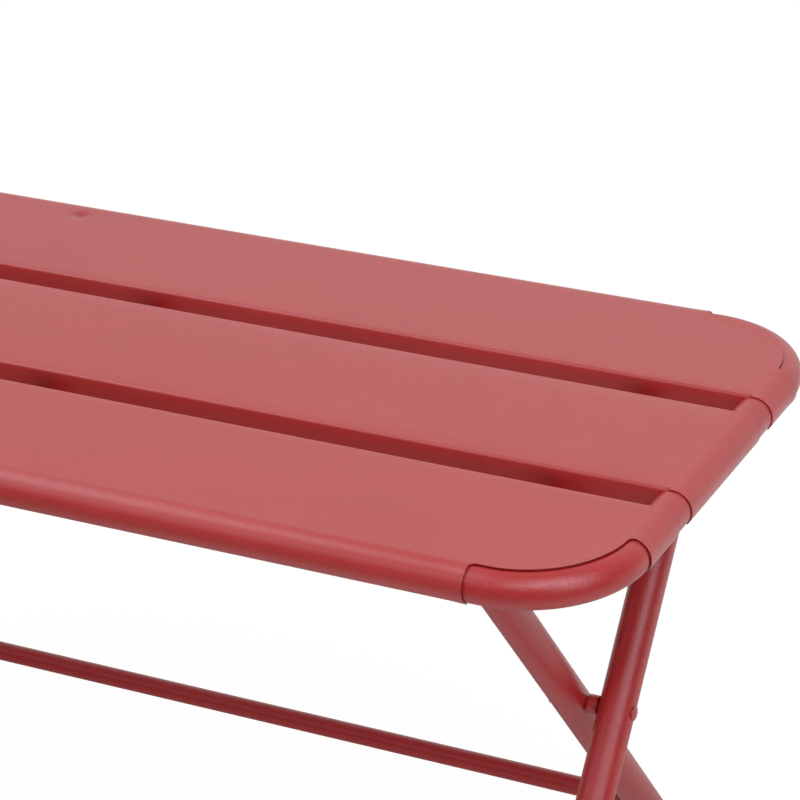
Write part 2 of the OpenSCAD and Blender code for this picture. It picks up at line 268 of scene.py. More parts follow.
def grain_bump(tree, coarse, fine, height):
    """Bump from a soft peel and a fine grain, in metres."""
    peel = noise_node(tree, coarse, PEEL_DETAIL, GRAIN_ROUGHNESS)
    grain = noise_node(tree, fine, GRAIN_DETAIL, GRAIN_ROUGHNESS)
    both = add_node(tree, "ShaderNodeMix", data_type="FLOAT")
    both.inputs["Factor"].default_value = GRAIN_SHARE
    link(tree, peel, "Fac", both, "A")
    link(tree, grain, "Fac", both, "B")
    bump = add_node(tree, "ShaderNodeBump")
    bump.inputs["Distance"].default_value = height
    bump.inputs["Strength"].default_value = 1.0
    link(tree, both, "Result", bump, "Height")
    return bump


def painted(name, dark, light, grain_height, gloss_index):
    """Satin powder coat: faint cloudiness, peel and grain, with painted shade mixed in from the mesh's shade
    attribute at seams, slots and gaps.
    """
    material = bpy.data.materials.new(name)
    material.use_nodes = True
    tree = material.node_tree
    shader = tree.nodes["Principled BSDF"]
    clouds = noise_node(tree, PAINT_CLOUD_SCALE, CLOUD_DETAIL, CLOUD_ROUGHNESS)
    tone = clouded(tree, clouds, dark, light)
    painted_shade = add_node(tree, "ShaderNodeAttribute", attribute_name="painted_shade")
    shaded = add_node(tree, "ShaderNodeMix", data_type="RGBA")
    shaded.inputs["B"].default_value = (*PAINTED_SHADE_COLOUR, 1)
    link(tree, painted_shade, "Fac", shaded, "Factor")
    link(tree, tone, "Result", shaded, "A")
    link(tree, shaded, "Result", shader, "Base Color")
    speckle = noise_node(tree, PEEL_SCALE, PEEL_DETAIL, GRAIN_ROUGHNESS)
    tree.links.new(noise_range(tree, speckle, PAINT_ROUGHNESS), shader.inputs["Roughness"])
    bump = grain_bump(tree, PEEL_SCALE, GRAIN_SCALE, grain_height)
    link(tree, bump, "Normal", shader, "Normal")
    shader.inputs["IOR"].default_value = gloss_index
    return material


def moulded(name, dark, light, roughness, grain, height):
    """Moulded plastic with a fine matt grain."""
    material = bpy.data.materials.new(name)
    material.use_nodes = True
    tree = material.node_tree
    shader = tree.nodes["Principled BSDF"]
    clouds = noise_node(tree, PLASTIC_CLOUD_SCALE, CLOUD_DETAIL, CLOUD_ROUGHNESS)
    tone = clouded(tree, clouds, dark, light)
    link(tree, tone, "Result", shader, "Base Color")
    tree.links.new(noise_range(tree, clouds, roughness), shader.inputs["Roughness"])
    bump = grain_bump(tree, grain, PLASTIC_GRAIN_FACTOR * grain, height)
    link(tree, bump, "Normal", shader, "Normal")
    return material


# Colours, dark and light, then height of the grain in metres and index of refraction
TUBE_GRAIN = 0.00026
SHEET_GRAIN = 0.00009
FULL_GLOSS = 1.8
LOW_GLOSS = 1.6
FRAME_PAINT = painted(
    "frame_paint_coat", (0.430, 0.013, 0.015), (0.470, 0.017, 0.019), TUBE_GRAIN, FULL_GLOSS
)
# Darker copy of the frame paint with less gloss: its darker colour is painted shade for the cross tubes low
# under the top
SHADED_CROSS_PAINT = painted(
    "cross_tube_shaded_paint_coat", (0.400, 0.012, 0.013), (0.435, 0.015, 0.016), TUBE_GRAIN, LOW_GLOSS
)
SLAT_PAINT = painted(
    "slat_paint_coat", (0.443, 0.023, 0.021), (0.474, 0.027, 0.025), SHEET_GRAIN, FULL_GLOSS
)

# Colours, dark and light, then range of roughness, scale and height of the grain
FOOT_RUBBER = moulded(
    "foot_cap_rubber", (0.012, 0.012, 0.013), (0.022, 0.022, 0.023), (0.55, 0.75), 900.0, 0.00008
)
WASHER_NYLON = moulded(
    "washer_nylon", (0.66, 0.65, 0.61), (0.74, 0.73, 0.69), (0.38, 0.52), 700.0, 0.00003
)
COATS = {
    "frame_paint": FRAME_PAINT,
    "slat_paint": SLAT_PAINT,
    "foot_cap": FOOT_RUBBER,
    "washer": WASHER_NYLON,
}


# Making of pieces
SHARP_ANGLE = math.radians(38)
EASED_ANGLE = math.radians(50)
EASED_STEPS = 2


def make_piece(name, shape, body, slot, nodes=(), edge=0.0, coat=None):
    """Mesh piece in metres that rides on a body and stands for its CAD nodes."""
    mesh = bpy.data.meshes.new(name)
    mesh.from_pydata([point * MM for point in shape.points], [], shape.faces)
    work = bmesh.new()
    work.from_mesh(mesh)
    bmesh.ops.recalc_face_normals(work, faces=work.faces)
    work.to_mesh(mesh)
    work.free()
    # Painted shade for each face corner: the face's own value, or else its point's
    shade = mesh.attributes.new("painted_shade", "FLOAT", "CORNER")
    for polygon, painted_shade in zip(mesh.polygons, shape.face_painted_shades):
        for loop in polygon.loop_indices:
            point = mesh.loops[loop].vertex_index
            shade.data[loop].value = shape.painted_shades[point] if painted_shade is None else painted_shade
    mesh.shade_smooth()
    mesh.set_sharp_from_angle(angle=SHARP_ANGLE)
    mesh.materials.append(coat or COATS[slot])
    piece = bpy.data.objects.new(name, mesh)
    bpy.context.scene.collection.objects.link(piece)
    if edge:
        bevel = piece.modifiers.new("edges", "BEVEL")
        bevel.width = edge * MM
        bevel.segments = EASED_STEPS
        bevel.limit_method = "ANGLE"
        bevel.angle_limit = EASED_ANGLE
        bevel.harden_normals = True
    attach(piece, body)
    if nodes:
        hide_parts(*nodes)


# Frame of the top
# Painted shade on the frame tubes along the sheet's cut edges and roll ends: its depth, its width in mm and
# round the crest
PAINTED_SEAM_SHADE = 0.9
SEAM_SHADE_WIDTH = 3.0
CREST_WIDTH = math.radians(5)
ROLL_FADE = 0.1
BEND_LEAD = 2.0
BEND_RUN = 3.0
BEND_FLAT = 0.4
FLAT_FROM = 0.6
SIDE_STATIONS = (0.05, 0.5, 100, 200, 300, 380, 410, 417, 420, 420.7, 421.2, 421.8, 422.6, 424, 427)
CORNER_STATIONS = (3, 6, 9, 12, 15, *range(18, 81, 3), 82, 83.5, 85, 86, 86.8, 87.5, 88, 88.5, 89)
SLOT_STATIONS = (130, 100, 93, 91, 90.6, 90.1, 89.4, 88.4, 86.5, 82, 74, 69.5, 67.6, 66.6, 65.9, 65.4)
MIDDLE_STATIONS = (65, 62, 30, 0)


def frame_stations():
    """Places along a frame half: centre, outward direction, share of bend, painted seam shade and roll's
    angle.
    """
    stations = []
    for x in (*SIDE_STATIONS, CORNER_X):
        painted_shade = PAINTED_SEAM_SHADE * (1 - smooth_step(0, SEAM_SHADE_WIDTH, x - SIDE_ROLL_END))
        bend = smooth_step(SIDE_ROLL_END - BEND_LEAD, SIDE_ROLL_END + BEND_RUN, x)
        stations.append((Vector((x, -SIDE_Y, 0)), Vector((0, -1, 0)), bend, painted_shade, SIDE_ROLL_ANGLE))
    for angle in CORNER_STATIONS:
        turn = math.radians(angle - 90)
        out = Vector((math.cos(turn), math.sin(turn), 0))
        centre = Vector((CORNER_X, -CORNER_Y, 0)) + out * BEND_R
        beyond = -centre.y - END_ROLL_EDGE
        painted_shade = PAINTED_SEAM_SHADE * (1 - smooth_step(0, SEAM_SHADE_WIDTH, beyond))
        stations.append((centre, out, smooth_step(-BEND_LEAD, BEND_RUN, beyond), painted_shade, END_ROLL_ANGLE))
    for y in (CORNER_Y, *SLOT_STATIONS, *MIDDLE_STATIONS):
        slot_edge = min(abs(y - SLOT_IN), abs(y - SLOT_OUT))
        inside = SLOT_IN < y < SLOT_OUT
        painted_shade = PAINTED_SEAM_SHADE * (1 - smooth_step(0, SEAM_SHADE_WIDTH, slot_edge)) if inside else PAINTED_SEAM_SHADE
        stations.append((Vector((END_X, -y, 0)), Vector((1, 0, 0)), 0.0, painted_shade, END_ROLL_ANGLE))
    for centre, out, bend, painted_shade, roll in reversed(stations[:-1]):
        stations.append((Vector((centre.x, -centre.y, 0)), Vector((out.x, -out.y, 0)), bend, painted_shade, roll))
    return stations


def frame_ring(shape, station, radius, shaded):
    """Ring of a frame tube, a little flattened in the bends, with painted shade along the sheet's cut edge
    and under the rolls.
    """
    centre, out, bend, painted_shade, roll = station
    points = []
    painted_shades = []
    for angle in round_angles(FRAME_POINTS):
        rise = math.sin(angle)
        point = centre + out * (radius * math.cos(angle))
        point.z = FRAME_Z + radius * rise - BEND_FLAT * bend * smooth_step(FLAT_FROM, 1, rise)
        points.append(point)
        down = (math.pi / 2 - angle) % (2 * math.pi)
        from_crest = min(down, 2 * math.pi - down)
        crest = PAINTED_SEAM_SHADE * (1 - smooth_step(0, CREST_WIDTH, from_crest))
        rolled = 1 - smooth_step(roll - ROLL_FADE, roll, down) if down < math.pi else 0.0
        painted_shades.append(max(crest * bend, painted_shade * rolled) if shaded else 0.0)
    return shape.ring(points, painted_shades)


def frame_half(side):
    """Hollow tube of one half of the frame, from the middle of one side to the middle of the other."""
    shape = Shape()
    stations = frame_stations()
    rings = []
    for station in stations:
        rings.append(frame_ring(shape, station, FRAME_R, True))
    for station in reversed(stations):
        rings.append(frame_ring(shape, station, FRAME_R - FRAME_WALL, False))
    shape.loft(rings, True)
    return shape if side == RIGHT else shape.mirrored(0)


# Slats of sheet steel, drawn flat and then rolled and folded
END_ROLL_LENGTH = END_ROLL_ANGLE * ROLL_MID
SIDE_ROLL_LENGTH = SIDE_ROLL_ANGLE * ROLL_MID
FOLD_LENGTH = math.pi / 2 * FOLD_MID
FLANGE_LENGTH = FLANGE_DEPTH - FOLD_R
RELIEF_START = END_X - 3.6
RELIEF_END = END_X - 3.0
RELIEF_R = 0.2
RELIEF_MIDDLE = (RELIEF_START + RELIEF_END) / 2
RELIEF_DEPTH = 0.5
TAB_R = 1.5
NECK_R = 5.0
NECK_INSET = 0.2
CORNER_CUT_ANGLES = range(8, 85, 3)
ROUND_STEPS = 6
FLANGE_STEPS = 14
CUT_TOLERANCE = 0.0001


def rounded_outline(corners):
    """Outline through corners given as place and radius."""
    outline = []
    count = len(corners)
    for i in range(count):
        before = Vector(corners[i - 1][:2])
        corner = Vector(corners[i][:2])
        after = Vector(corners[(i + 1) % count][:2])
        radius = corners[i][2]
        if radius == 0:
            outline.append(corner)
            continue
        to_before = (before - corner).normalized()
        to_after = (after - corner).normalized()
        half = to_before.angle(to_after) / 2
        middle = (to_before + to_after).normalized()
        centre = corner + middle * (radius / math.sin(half))
        start = corner + to_before * (radius / math.tan(half)) - centre
        end = corner + to_after * (radius / math.tan(half)) - centre
        for k in range(ROUND_STEPS + 1):
            mixed = start.lerp(end, k / ROUND_STEPS)
            outline.append(centre + mixed.normalized() * radius)
    return outline


def flange_end_corners(fold_start, towards):
    """Flat corners of a flange's end, from its foot up: shaped to the end tube, then notched at the fold."""
    gap_r = FRAME_R + FLANGE_GAP
    low = HEIGHT - FLANGE_DEPTH
    high = FRAME_Z + math.sqrt(gap_r * gap_r - (END_X - RELIEF_START) ** 2)
    corners = []
    for i in range(FLANGE_STEPS + 1):
        z = low + (high - low) * i / FLANGE_STEPS
        x = END_X - math.sqrt(gap_r * gap_r - (z - FRAME_Z) ** 2)
        straight = HEIGHT - FOLD_R - z
        along = FOLD_LENGTH + straight
        if straight < 0:
            along = FOLD_MID * math.acos(-straight / FOLD_R)
        corners.append((x, fold_start + towards * along, 0))
    corners.append((RELIEF_START, fold_start - towards * RELIEF_DEPTH, RELIEF_R))
    corners.append((RELIEF_END, fold_start - towards * RELIEF_DEPTH, RELIEF_R))
    corners.append((RELIEF_END, fold_start + towards * FOLD_R, 0))
    return corners


def side_slat_outline():
    """Flat outline of the rear slat: flange, end rolls, cut corners and side roll."""
    half = flange_end_corners(SLOT_OUT + FOLD_R, -1)
    half.append((END_X + END_ROLL_LENGTH, SLOT_OUT, TAB_R))
    half.append((END_X + END_ROLL_LENGTH, END_ROLL_EDGE, TAB_R))
    half.append((END_X - NECK_INSET, END_ROLL_EDGE, NECK_R))
    for angle in CORNER_CUT_ANGLES:
        turn = math.radians(angle)
        half.append((CORNER_X + BEND_R * math.cos(turn), CORNER_Y + BEND_R * math.sin(turn), 0))
    half.append((SIDE_ROLL_END, SIDE_Y, NECK_R))
    half.append((SIDE_ROLL_END, SIDE_Y + SIDE_ROLL_LENGTH, TAB_R))
    other = [(-x, y, radius) for x, y, radius in reversed(half)]
    return rounded_outline(half + other)


def middle_slat_outline():
    """Flat outline of the middle slat: two flanges and end rolls."""
    quarter = flange_end_corners(SLOT_IN - FOLD_R, 1)
    quarter.append((END_X + END_ROLL_LENGTH, SLOT_IN, TAB_R))
    quarter.reverse()
    rear_half = quarter + [(-x, y, radius) for x, y, radius in reversed(quarter)]
    front_half = [(-x, -y, radius) for x, y, radius in rear_half]
    return rounded_outline(rear_half + front_half)


def cut_lines(start, length, count):
    """Evenly spaced places over a length."""
    return [start + length * i / count for i in range(count + 1)]


def both_ways(values):
    """The values and their negatives."""
    return [value * side for value in values for side in (RIGHT, LEFT)]


def flat_mesh(outline, along, across):
    """Flat sheet with the outline, cut along the given lines."""
    work = bmesh.new()
    work.faces.new([work.verts.new((x, y, 0)) for x, y in outline])
    for normal, places in ((Vector((1, 0, 0)), along), (Vector((0, 1, 0)), across)):
        for place in places:
            everything = work.verts[:] + work.edges[:] + work.faces[:]
            cut = normal * place
            bmesh.ops.bisect_plane(
                work, geom=everything, dist=CUT_TOLERANCE, plane_co=cut, plane_no=normal
            )
    work.verts.index_update()
    return work


EDGE_LIFT = 0.3
LIFT_RUN = 14
WAVE_HEIGHT = 0.05
WAVE_LENGTH = 150
WAVE_WIDTH = 60
WAVE_LAYER = 0.5


def edge_lift(x, y, side_slat):
    """How far the sheet stands off the tube near its cut edges."""
    wave = WAVE_HEIGHT * noise.noise(Vector((x / WAVE_LENGTH, y / WAVE_WIDTH, WAVE_LAYER)))
    if not side_slat:
        return wave
    along_side = smooth_step(SIDE_ROLL_END - LIFT_RUN, SIDE_ROLL_END, abs(x))
    along_end = smooth_step(END_ROLL_EDGE - LIFT_RUN, END_ROLL_EDGE, y)
    if y > SIDE_Y:
        lift = along_side
    elif abs(x) > END_X:
        lift = along_end
    else:
        from_corner = math.hypot(max(abs(x) - CORNER_X, 0), max(y - CORNER_Y, 0))
        lift = smooth_step(BEND_R - LIFT_RUN, BEND_R, from_corner) * min(along_side, along_end)
    return wave + EDGE_LIFT * lift


def roll_place(along, sheet_depth):
    """Distance beyond the tube's axis, and height, of a point of a roll."""
    turn = along / ROLL_MID
    radius = ROLL_OUT - sheet_depth
    return radius * math.sin(turn), FRAME_Z + radius * math.cos(turn)


def fold_place(along, sheet_depth):
    """Distance towards the slot, and height, of a point of a fold and its flange."""
    turn = min(along / FOLD_MID, math.pi / 2)
    radius = FOLD_R - sheet_depth
    straight = max(along - FOLD_LENGTH, 0)
    return radius * math.sin(turn), HEIGHT - FOLD_R + radius * math.cos(turn) - straight


def end_roll_point(x, y, depth):
    """Place of a flat point beyond the axis of an end tube."""
    beyond, z = roll_place(abs(x) - END_X, depth)
    return Vector((math.copysign(END_X + beyond, x), y, z))


def side_slat_point(x, y, depth):
    """Place of a flat point of the rear slat, at a depth below its outer face."""
    depth = depth - edge_lift(x, y, True)
    fold_start = SLOT_OUT + FOLD_R
    if abs(x) > END_X:
        return end_roll_point(x, y, depth)
    if y > SIDE_Y:
        beyond, z = roll_place(y - SIDE_Y, depth)
        return Vector((x, SIDE_Y + beyond, z))
    if y < fold_start and abs(x) < RELIEF_MIDDLE:
        beyond, z = fold_place(fold_start - y, depth)
        return Vector((x, fold_start - beyond, z))
    return Vector((x, y, HEIGHT - depth))


def middle_slat_point(x, y, depth):
    """Place of a flat point of the middle slat, at a depth below its outer face."""
    depth = depth - edge_lift(x, y, False)
    fold_start = SLOT_IN - FOLD_R
    if abs(x) > END_X:
        return end_roll_point(x, y, depth)
    if abs(y) > fold_start and abs(x) < RELIEF_MIDDLE:
        beyond, z = fold_place(abs(y) - fold_start, depth)
        return Vector((x, math.copysign(fold_start + beyond, y), z))
    return Vector((x, y, HEIGHT - depth))


# Painted shade on the flanges inside the slots, and a painted shadow where a rail passes below
SLOT_SHADE = 0.35
RAIL_SHADE = 0.55
RAIL_SPREAD = 15.0
RAIL_CUTS = range(-28, 29, 7)


def slot_shade(x, along):
    """Painted shade of a flange in its slot, with a painted shadow deepest where a rail passes under it."""
    if along <= 0 or abs(x) > RELIEF_MIDDLE:
        return 0.0
    depth = smooth_step(0, FOLD_LENGTH + FLANGE_LENGTH / 2, along)
    from_rail = min(abs(x), abs(abs(x) - LUG_X))
    return depth * (SLOT_SHADE + RAIL_SHADE * math.exp(-(from_rail / RAIL_SPREAD) ** 2))


def rail_lines():
    """Places beside the rails where the sheet is cut, so that their shade can fade."""
    return [rail + step for rail in (0, LUG_X) for step in RAIL_CUTS]


def sheet_shape(work, place, shade, edge_shade):
    """Sheet with thickness from a flat mesh and the functions that place its points and paint shade on them.
    """
    shape = Shape()
    flat = [vertex.co.copy() for vertex in work.verts]
    shades = [shade(point.x, point.y) for point in flat]
    outer = shape.ring([place(point.x, point.y, 0.0) for point in flat], shades)
    inner = shape.ring([place(point.x, point.y, SHEET) for point in flat])
    for face in work.faces:
        corners = [vertex.index for vertex in face.verts]
        shape.face([outer[i] for i in corners])
        shape.face([inner[i] for i in reversed(corners)])
        for loop in face.loops:
            if len(loop.edge.link_faces) == 1:
                a = loop.vert.index
                b = loop.link_loop_next.vert.index
                shape.face((outer[b], outer[a], inner[a], inner[b]), edge_shade(flat[a], flat[b]))
    work.free()
    return shape


# Painted shade on cut edges along the flanges, and how near the flange an edge counts as open
OPEN_EDGE_SHADE = 0.2
EDGE_REACH = 1


def side_slot_shade(x, y):
    """Painted shade on the rear slat's outer face."""
    return slot_shade(x, SLOT_OUT + FOLD_R - y)


def middle_slot_shade(x, y):
    """Painted shade on the middle slat's outer face."""
    return slot_shade(x, abs(y) - SLOT_IN + FOLD_R)


def side_edge_shade(a, b):
    """Painted shade on the rear slat's cut edges: deep where they lie on the tube, light along the flange."""
    y = min(a.y, b.y)
    return OPEN_EDGE_SHADE if y < SLOT_OUT + EDGE_REACH else PAINTED_SEAM_SHADE


def middle_edge_shade(a, b):
    """Painted shade on the middle slat's cut edges: deep where they lie on the tube, light along the flanges.
    """
    x = min(abs(a.x), abs(b.x))
    return PAINTED_SEAM_SHADE if x > RELIEF_END - EDGE_REACH else OPEN_EDGE_SHADE


DENT_X = -131.0
DENT_Y = 198.0
DENT_LENGTH = 7.0
DENT_WIDTH = 6.0
DENT_DEPTH = 1.7
# Painted shade in the dent
DENT_SHADE = 0.45
DENT_ALONG = (-14, -10, -7, -5, -3, -1, 1, 3, 5, 7, 10, 14)
DENT_ACROSS = (-14, -11, -9, -7, -5, -3, -1, 1, 3, 5, 7, 9, 11)

# Places where the flat sheets are cut, so that they can bend and lift
ROLL_CUTS = 28
FOLD_CUTS = 8
LIFT_CUTS = (2, 4, 6, 8, 11)
SIDE_ALONG = (*range(30, 400, 30), *range(430, 504, 6))
SIDE_ACROSS = (100, 112, 124)
CORNER_ACROSS = range(144, 212, 6)
MIDDLE_ALONG = range(30, 490, 30)
MIDDLE_ACROSS = (15, 30, 45)


def side_slat(side):
    """Front or rear slat; the rear one has a shallow dent near its edge, with painted shade in it."""
    roll_lines = cut_lines(END_X, END_ROLL_LENGTH, ROLL_CUTS)[:-1]
    near_edges = [SIDE_ROLL_END - step for step in (*LIFT_CUTS, LIFT_RUN)]
    along = both_ways([*roll_lines, *near_edges, *SIDE_ALONG, *rail_lines(), RELIEF_MIDDLE])
    fold_start = SLOT_OUT + FOLD_R
    across = cut_lines(fold_start, -FOLD_LENGTH, FOLD_CUTS)
    across.extend(cut_lines(SIDE_Y, SIDE_ROLL_LENGTH, ROLL_CUTS)[:-1])
    across.append(fold_start - FOLD_LENGTH - FLANGE_LENGTH / 2)
    across.extend(SIDE_ACROSS)
    across.extend([END_ROLL_EDGE - step for step in LIFT_CUTS])
    across.extend(CORNER_ACROSS)
    if side == REAR:
        along.extend([DENT_X + step for step in DENT_ALONG])
        across.extend([DENT_Y + step for step in DENT_ACROSS])
    work = flat_mesh(side_slat_outline(), along, across)
    shape = sheet_shape(work, side_slat_point, side_slot_shade, side_edge_shade)
    if side == REAR:
        # Press the dent in and paint shade into it
        for i, point in enumerate(shape.points):
            if point.z > HEIGHT - 2 * SHEET:
                away = ((point.x - DENT_X) / DENT_LENGTH) ** 2 + ((point.y - DENT_Y) / DENT_WIDTH) ** 2
                dent = math.exp(-away)
                point.z -= DENT_DEPTH * dent
                shape.painted_shades[i] = max(shape.painted_shades[i], DENT_SHADE * dent)
        return shape
    return shape.mirrored(1)


def middle_slat():
    """Middle slat, with a flange at each slot."""
    roll_lines = cut_lines(END_X, END_ROLL_LENGTH, ROLL_CUTS)[:-1]
    along = both_ways([*roll_lines, *MIDDLE_ALONG, *rail_lines(), RELIEF_MIDDLE])
    fold_lines = cut_lines(SLOT_IN - FOLD_R, FOLD_LENGTH, FOLD_CUTS)
    across = both_ways([*fold_lines, *MIDDLE_ACROSS, fold_lines[-1] + FLANGE_LENGTH / 2])
    work = flat_mesh(middle_slat_outline(), along, across)
    return sheet_shape(work, middle_slat_point, middle_slot_shade, middle_edge_shade)


# Tubes with shaped ends
LEG_EDGE = 0.4
LEG_RINGS = 8
OUTSIDE_STATIONS = (-1, -0.5, 0, 0.5, 1)
INSIDE_STATIONS = (1, -1)


def leg_point(x, lean, r, angle, s):
    """Place on or in a leg: distance from its axis, angle round it, distance above the pivot."""
    sine = math.sin(LEG_ANGLE) * lean
    cosine = math.cos(LEG_ANGLE)
    across = r * math.sin(angle)
    return Vector((x + r * math.cos(angle), s * sine + across * cosine, PIVOT_Z + s * cosine - across * sine))


def leg_ring(shape, x, lean, r, s):
    return shape.ring([leg_point(x, lean, r, angle, s) for angle in round_angles(TUBE_POINTS)])


def leg_tube(x, lean):
    """Hollow leg with eased ends."""
    low = FOOT_STAND - FOOT_S
    shape = Shape()
    outside = [(LEG_R - LEG_EDGE, low), (LEG_R, low + LEG_EDGE)]
    outside.extend((LEG_R, low + (LEG_TOP - low) * i / LEG_RINGS) for i in range(1, LEG_RINGS))
    outside.extend([(LEG_R, LEG_TOP - LEG_EDGE), (LEG_R - LEG_EDGE, LEG_TOP)])
    inside = [(LEG_R - LEG_WALL, LEG_TOP), (LEG_R - LEG_WALL, low)]
    shape.loft([leg_ring(shape, x, lean, r, s) for r, s in outside + inside], True)
    return shape


def leg_surface(lean, y, z, r):
    """Distance along X from a leg's axis to its surface, at a place in Y and Z."""
    across = y * math.cos(LEG_ANGLE) - (z - PIVOT_Z) * math.sin(LEG_ANGLE) * lean
    return math.sqrt(max(r * r - across * across, 0.0))


def hollow_tube(r, wall, place):
    """Tube with shaped ends, from a function of radius, angle and share of the half length."""
    shape = Shape()
    rings = []
    for ring_r, stations in ((r, OUTSIDE_STATIONS), (r - wall, INSIDE_STATIONS)):
        for station in stations:
            rings.append(shape.ring([place(ring_r, angle, station) for angle in round_angles(TUBE_POINTS)]))
    shape.loft(rings, True)
    return shape


def cross_tube(x, lean, y0, z0):
    """Tube along X between a pair of legs, with ends shaped to them."""

    def place(r, angle, station):
        y = y0 + r * math.cos(angle)
        z = z0 + r * math.sin(angle)
        reach = x - leg_surface(lean, y, z, LEG_R + SEAT_GAP)
        return station * reach, y, z

    return hollow_tube(STRETCHER_R, STRETCHER_WALL, place)


def rail_reach(z):
    """How far a rail runs along Y at a height, up to the side tube's surface."""
    surface = FRAME_R + SEAT_GAP
    limit = SIDE_Y - FRAME_R / 3
    over = abs(z - FRAME_Z)
    if over >= surface:
        return limit
    return min(limit, SIDE_Y - math.sqrt(surface * surface - over * over))


def rail_tube(x0):
    """Rail along Y between the side tubes, with ends shaped to them."""

    def place(r, angle, station):
        z = RAIL_Z + r * math.sin(angle)
        return x0 + r * math.cos(angle), station * rail_reach(z), z

    return hollow_tube(RAIL_R, RAIL_WALL, place)


# Turned pieces; profiles pair an inset with a distance from an end, or a radius with a height
EASE = 0.3
SHADE_REACH = 1
# Painted shade where a pin's head seats on a leg
HEAD_SEAT_SHADE = 0.8
SHANK_INSET = 0.2
HEAD_PROFILE = (
    (5.75, 0.3), (5.6, 0.5), (5.2, 0.65), (4.75, 0.7), (4.45, 0.82),
    (4.0, 1.0), (3.2, 1.22), (2.3, 1.38), (1.4, 1.47), (0.6, 1.5),
)
CATCH_EDGE = 0.4
CATCH_TIP = ((0.0, 1.0), (0.3, 0.4), (0.7, 0.1), (1.2, 0.0))
PLUG_DEPTH = 8.0
PLUG_EDGE = 0.6
PLUG_RIM = 1.5
PLUG_RIM_EDGE = 0.4
PLUG_RIM_TOP = ((0.0, 0.5), (0.15, 0.1))
PLUG_DOME = 2.5
PLUG_DOME_RADII = (13.4, 12, 10, 8, 6, 4, 2, 0.8)
MOUTH_DEPTH = 0.5
MOUTH_FLARE = 0.4
MOUTH_EDGE = ((0.8, 0.0), (0.2, 0.25), (0.0, 0.8))
FOOT_GROOVES = (4.0, 7.0)
GROOVE_PROFILE = ((0.0, 0.0), (0.5, 0.4), (0.5, 0.9), (0.0, 1.3))
SOLE_EDGE = ((0.0, 2.2), (0.1, 1.2), (0.5, 0.4), (1.3, 0.0))
SOLE_RECESS = ((11.5, 0.0), (11.0, 0.9))


def turned_ring(shape, x, r, y0, z0):
    """Ring round a line along X."""
    points = []
    for angle in round_angles(SMALL_POINTS):
        points.append((x, y0 + r * math.cos(angle), z0 + r * math.sin(angle)))
    return shape.ring(points)


def turned(profile, y0, z0, hollow):
    """Piece turned about a line along X, from places along X and radii."""
    shape = Shape()
    shape.loft([turned_ring(shape, x, r, y0, z0) for x, r in profile], hollow)
    return shape


def bored_disc(x0, x1, r, edge, y0, z0):
    """Washer or spacer with eased edges."""
    half = [(0.0, BORE_R + edge / 2), (0.0, r - edge), (EASE * edge, r - EASE * edge), (edge, r)]
    half.append(((x1 - x0) / 3, r))
    profile = [(x0 + along, radius) for along, radius in half]
    profile.extend((x1 - along, radius) for along, radius in reversed(half))
    profile.extend([(x1 - edge / 2, BORE_R), (x0 + edge / 2, BORE_R)])
    return turned(profile, y0, z0, True)


def shade_ends(shape, x0, x1):
    """Paint shade at the two ends, where a piece meets its neighbours."""
    for i, point in enumerate(shape.points):
        if min(abs(point.x - x0), abs(point.x - x1)) < SHADE_REACH:
            shape.painted_shades[i] = PAINTED_SEAM_SHADE


def leg_pin(x_in, y0, z0):
    """Pin through an outer leg: a low head at its inner end, and one seated on the leg outside."""
    shape = Shape()
    rings = []
    for r, h in reversed(HEAD_PROFILE):
        rings.append(turned_ring(shape, x_in - h, r, y0, z0))
    rings.append(turned_ring(shape, x_in, HEAD_R, y0, z0))
    rings.append(turned_ring(shape, x_in, PIN_R, y0, z0))
    rings.append(turned_ring(shape, OUTER_X + LEG_R - SHANK_INSET, PIN_R, y0, z0))
    seat = []
    for angle in round_angles(SMALL_POINTS):
        y = y0 + HEAD_R * math.cos(angle)
        z = z0 + HEAD_R * math.sin(angle)
        seat.append((OUTER_X + leg_surface(REAR, y, z, LEG_R + SEAT_GAP), y, z))
    # Painted shade where the head seats on the leg
    rings.append(shape.ring(seat, [HEAD_SEAT_SHADE] * SMALL_POINTS))
    for r, h in HEAD_PROFILE:
        rings.append(turned_ring(shape, OUTER_X + LEG_R + h, r, y0, z0))
    shape.loft(rings, False)
    return shape


def catch_pin():
    """Pin on an inner leg that reaches through the hook, with an eased tip."""
    end = (LUG_X + LUG_T / 2 + OUTER_X - LEG_R) / 2
    start = INNER_X - LEG_R
    profile = [(start, PIN_R - CATCH_EDGE), (start + CATCH_EDGE, PIN_R)]
    profile.extend((end - back, PIN_R - inset) for inset, back in CATCH_TIP)
    return turned(profile, -HINGE_Y, HINGE_Z, False)


def leg_plug(x, lean):
    """Domed plug with an eased rim in a leg's upper end."""
    plug_r = LEG_R - LEG_WALL - SEAT_GAP
    rim = SEAT_GAP + PLUG_RIM
    dome_r = (LEG_R * LEG_R + PLUG_DOME * PLUG_DOME) / (2 * PLUG_DOME)
    profile = [(plug_r - PLUG_EDGE, -PLUG_DEPTH), (plug_r, PLUG_EDGE - PLUG_DEPTH), (plug_r, SEAT_GAP)]
    profile.extend([(LEG_R - PLUG_RIM_EDGE, SEAT_GAP), (LEG_R, SEAT_GAP + PLUG_RIM_EDGE)])
    profile.extend((LEG_R - inset, rim - drop) for inset, drop in PLUG_RIM_TOP)
    for r in PLUG_DOME_RADII:
        profile.append((r, rim + PLUG_DOME - dome_r + math.sqrt(dome_r * dome_r - r * r)))
    shape = Shape()
    shape.loft([leg_ring(shape, x, lean, r, LEG_TOP + h) for r, h in profile], False)
    return shape


